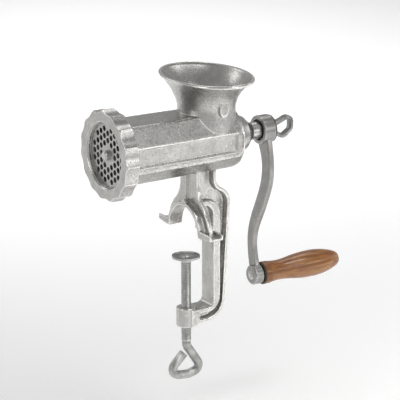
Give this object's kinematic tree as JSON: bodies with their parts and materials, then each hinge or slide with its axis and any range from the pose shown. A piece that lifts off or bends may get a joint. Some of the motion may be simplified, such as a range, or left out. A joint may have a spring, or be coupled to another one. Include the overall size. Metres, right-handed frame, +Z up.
{
  "type": "manual meat grinder",
  "caption": "Hand cranked meat grinder with a flared feed hopper, an octagonal barrel, a ring nut over a hole disc, a curved crank with a wooden grip and a table clamp.",
  "frame": {"origin": "where the clamp screw's axis meets the plane of the table top, under the feet", "axes": "+X along the barrel towards the crank, +Z up out of the table, -Y the side with the oval boss"},
  "size_m": [0.2222, 0.0926, 0.2442],
  "materials": {
    "cast_metal": "sand cast, tumbled",
    "cast_metal_dark": "sand cast, dull",
    "disc_steel": "ground",
    "bright_steel": "turned",
    "dark_steel": "blackened",
    "zinc_steel": "zinc plated",
    "bronze": "sintered",
    "fibre": "pressed fibre",
    "varnished_wood": "gloss varnish"
  },
  "bodies": {
    "housing": {"barrel_housing": "cast_metal", "feed_hopper": "cast_metal", "support_legs": "cast_metal", "clamp_frame": "cast_metal", "shaft_bush": "bronze", "thrust_washer": "fibre", "disc_key_pin": "bright_steel"},
    "rotor": {"feed_screw": "cast_metal", "knife_stud": "bright_steel", "drive_shaft": "bright_steel", "cutting_knife": "bright_steel", "crank_arm": "cast_metal_dark", "grip_spindle": "bright_steel", "spindle_washer": "dark_steel", "grip_end_washer": "dark_steel"},
    "grip": {"wooden_grip": "varnished_wood"},
    "disc": {"hole_disc": "disc_steel"},
    "nut": {"ring_nut": "cast_metal"},
    "plate": {"clamp_plate": "zinc_steel"},
    "screw": {"clamp_screw": "zinc_steel", "plate_rivet": "bright_steel"},
    "washer": {"crank_washer": "dark_steel"},
    "wing": {"wing_screw": "zinc_steel"}
  },
  "joints": [
    {"name": "crank_turn", "type": "hinge", "parent": "housing", "child": "rotor", "pos_m": [0, 0, 0.0712], "axis": [1, 0, 0], "continuous": true},
    {"name": "grip_spin", "type": "hinge", "parent": "rotor", "child": "grip", "pos_m": [0, 0.008, -0.0503], "axis": [1, 0, 0], "continuous": true},
    {"name": "nut_travel", "type": "slide", "parent": "housing", "child": "disc", "axis": [-1, 0, 0], "range_m": [0, 0.0061]},
    {"name": "nut_turn", "type": "hinge", "parent": "disc", "child": "nut", "pos_m": [0, 0, 0.0712], "axis": [-1, 0, 0], "range_deg": [0, 720]},
    {"name": "clamp_travel", "type": "slide", "parent": "housing", "child": "plate", "axis": [0, 0, 1], "range_m": [-0.038, 0.014]},
    {"name": "clamp_turn", "type": "hinge", "parent": "plate", "child": "screw", "pos_m": [0, 0, 0], "axis": [0, 0, 1], "range_deg": [-10944, 4032]},
    {"name": "wing_travel", "type": "slide", "parent": "rotor", "child": "washer", "axis": [1, 0, 0], "range_m": [0, 0.0081]},
    {"name": "wing_turn", "type": "hinge", "parent": "washer", "child": "wing", "pos_m": [0, 0, 0.0712], "axis": [1, 0, 0], "range_deg": [0, 2880]}
  ],
  "couplings": [
    {"joint": "nut_travel", "follows": "nut_turn", "m_per_rad": 0.00047746},
    {"joint": "clamp_travel", "follows": "clamp_turn", "m_per_rad": 0.00019894},
    {"joint": "wing_travel", "follows": "wing_turn", "m_per_rad": 0.00015915}
  ]
}
